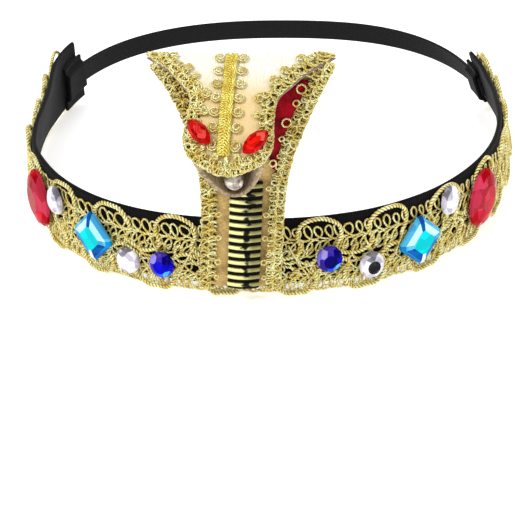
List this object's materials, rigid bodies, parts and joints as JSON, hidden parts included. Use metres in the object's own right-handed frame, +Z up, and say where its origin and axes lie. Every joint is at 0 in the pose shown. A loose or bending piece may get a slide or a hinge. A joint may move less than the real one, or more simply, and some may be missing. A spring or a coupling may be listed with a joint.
{
  "type": "egyptian queen cobra headband",
  "caption": "Costume headband: a black band with gold scalloped cord lace and cut stones, an elastic at the back, and a cloth cobra rearing forward at the front.",
  "frame": {"origin": "on the floor under the middle of the whole object", "axes": "+Z up, -Y the way the wearer looks and the cobra faces, +X to the wearer's left"},
  "size_m": [0.1763, 0.2168, 0.082],
  "materials": {
    "black_felt": "matte felted ribbon",
    "gold_cord": "metallic gold gimp cord",
    "black_elastic": "flat woven elastic",
    "tan_cloth": "smooth gold-tan cloth",
    "red_velvet": "crimson velvet",
    "ribbed_strip": "black strip with pale gold ribs",
    "cream_cloth": "satin cream cloth",
    "yellow_cord": "flat metallic yellow braid",
    "taupe_cloth": "plain taupe lining",
    "silver_bead": "silvered bead",
    "red_stone": "cut and polished, foil backed",
    "blue_stone": "cut and polished, foil backed",
    "clear_stone": "cut and polished, foil backed",
    "aqua_stone": "cut and polished, foil backed"
  },
  "bodies": {
    "root": {"base_band": "black_felt", "lace_trim": "gold_cord", "elastic_strap": "black_elastic", "end_tab_left": "black_felt", "end_tab_right": "black_felt", "cobra_hood": "tan_cloth", "hood_petal_left": "red_velvet", "hood_petal_right": "red_velvet", "hood_braid_left": "gold_cord", "hood_braid_right": "gold_cord", "belly_strip": "ribbed_strip", "cobra_head": "cream_cloth", "head_braid": "gold_cord", "crown_braid": "yellow_cord", "eye_left": "red_stone", "eye_right": "red_stone", "lower_jaw": "taupe_cloth", "mouth_bead": "silver_bead", "blue_round_left": "blue_stone", "blue_round_right": "blue_stone", "clear_round_left": "clear_stone", "clear_round_right": "clear_stone", "aqua_square_left": "aqua_stone", "aqua_square_right": "aqua_stone", "clear_oval_left": "clear_stone", "clear_oval_right": "clear_stone", "red_oval_left": "red_stone", "red_oval_right": "red_stone"}
  },
  "joints": []
}
